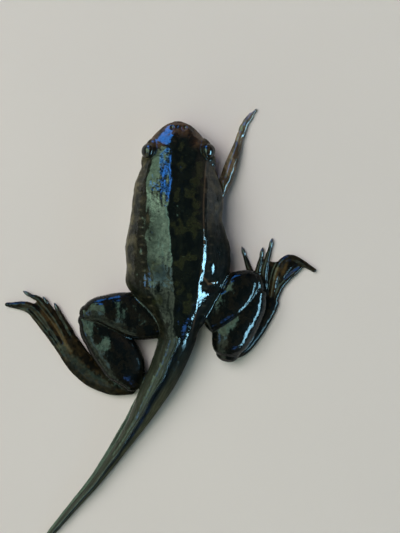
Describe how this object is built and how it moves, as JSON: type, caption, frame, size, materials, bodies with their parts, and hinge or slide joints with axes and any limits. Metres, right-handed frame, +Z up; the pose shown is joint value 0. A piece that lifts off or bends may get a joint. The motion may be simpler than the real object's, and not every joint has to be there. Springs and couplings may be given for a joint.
{
  "type": "african clawed frog, a newly changed froglet with its tadpole tail",
  "caption": "African clawed frog froglet lying flat, wet dark skin, folded webbed hind feet with black claws, and a long tadpole tail bent to its left.",
  "frame": {"origin": "on the flat of the belly where it rests on the floor, midway along the back", "axes": "+Y towards the snout, along the head, body and tail; +X towards the animal's right; +Z up, square to the floor"},
  "size_m": [0.0346, 0.0518, 0.0065],
  "materials": {
    "skin_body": "wet skin, near black with olive mottles, grey-brown flanks and a pale belly",
    "skin_tail": "wet dark olive skin",
    "skin_fin": "wet thin grey-olive skin",
    "skin_arm": "wet olive-brown skin",
    "skin_leg": "wet near-black skin with olive-brown mottles",
    "skin_foot": "wet amber-brown webbed skin with dark blotches",
    "eye": "clear wet eye, dark iris",
    "claw": "polished black horn"
  },
  "bodies": {
    "root": {"head": "skin_body", "torso": "skin_body", "tail_base": "skin_tail", "tail_middle": "skin_tail", "tail_tip": "skin_tail", "tail_fin_upper": "skin_fin", "tail_fin_lower": "skin_fin", "eye_left": "eye", "upper_arm_left": "skin_arm", "forearm_left": "skin_arm", "hand_left": "skin_arm", "thigh_left": "skin_leg", "shank_left": "skin_leg", "foot_left": "skin_foot", "claw_left_1": "claw", "claw_left_2": "claw", "claw_left_3": "claw", "eye_right": "eye", "upper_arm_right": "skin_arm", "forearm_right": "skin_arm", "hand_right": "skin_arm", "thigh_right": "skin_leg", "shank_right": "skin_leg", "foot_right": "skin_foot", "claw_right_1": "claw", "claw_right_2": "claw", "claw_right_3": "claw"}
  },
  "joints": []
}
